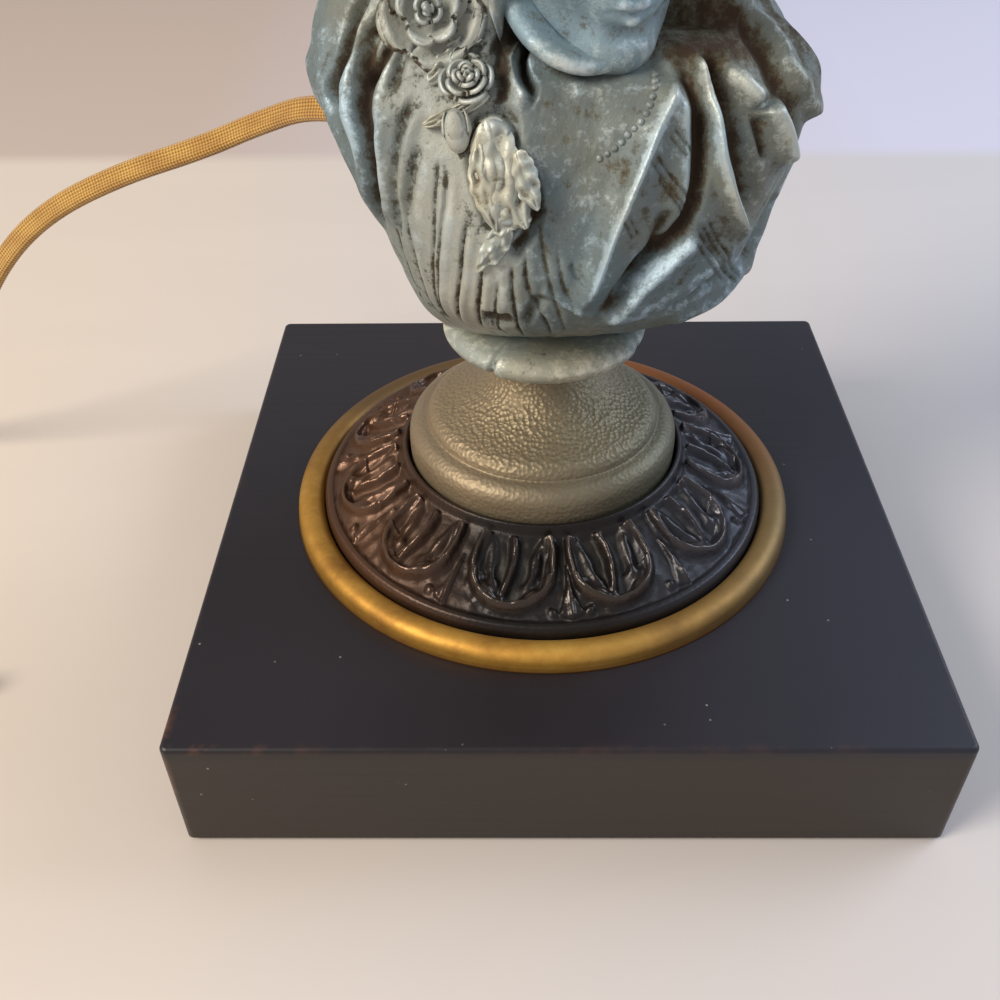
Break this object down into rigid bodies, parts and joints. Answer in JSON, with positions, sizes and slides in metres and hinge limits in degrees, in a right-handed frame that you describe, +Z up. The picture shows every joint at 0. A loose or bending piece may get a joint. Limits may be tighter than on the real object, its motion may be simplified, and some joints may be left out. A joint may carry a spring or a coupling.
{
  "type": "figural table lamp",
  "caption": "Figural table lamp: cast bust of a veiled figure on a turned socle, embossed collar, gilt ring and square black plinth, with lampholder, bulb and corded plug.",
  "frame": {"origin": "centre of the plinth's underside, on the table", "axes": "+Z up, -Y towards the viewer, +X to the viewer's right"},
  "size_m": [0.3358, 0.15, 0.2932],
  "materials": {
    "felt": "green baize",
    "ebonised_wood": "black polished, worn corners",
    "steel": "zinc plated",
    "gilt": "gold paint",
    "dark_bronze": "dark brown patina",
    "stippled_bronze": "olive grey stippled patina",
    "spelter": "grey-green worn patina",
    "brass": "aged polished brass",
    "bakelite": "dark moulded",
    "porcelain": "white glazed",
    "clear_glass": "clear",
    "lamp_cap": "bare",
    "filament": "bare wire",
    "wire_insulation": "covered wire",
    "gold_braid": "braided flex cover",
    "plug_plastic": "dark brown moulded"
  },
  "bodies": {
    "lamp": {"base_felt": "felt", "plinth": "ebonised_wood", "tie_rod": "steel", "rod_washers": "steel", "rod_nuts": "steel", "gilt_ring": "gilt", "leaf_collar": "dark_bronze", "socle": "stippled_bronze", "bust_band": "spelter", "bust_body": "spelter", "head": "spelter", "hair_curls": "spelter", "veil": "spelter", "shawl": "spelter", "neck_scarf": "spelter", "open_rose": "spelter", "rose": "spelter", "rosebud": "spelter", "spray_leaves": "spelter", "bead_string": "spelter", "nipple": "brass", "nipple_nut": "brass", "seat_cap": "brass", "holder_cap": "brass", "switch_block": "bakelite", "holder_insert": "porcelain", "holder_contacts": "brass", "holder_skirt": "brass", "shade_rings": "brass", "bulb_cap": "lamp_cap", "bulb_glass": "clear_glass", "bulb_filament": "filament", "cord_bush": "bakelite", "inner_leads": "wire_insulation", "cord_run": "gold_braid", "cord_coil": "gold_braid", "cord_tail": "gold_braid", "plug_sleeve": "plug_plastic", "plug_body": "plug_plastic", "plug_pins": "brass"},
    "switch": {"switch_bar": "bakelite"}
  },
  "joints": [
    {"name": "switch_slide", "type": "slide", "parent": "lamp", "child": "switch", "axis": [-1, 0, 0], "range_m": [0, 0.004]}
  ]
}
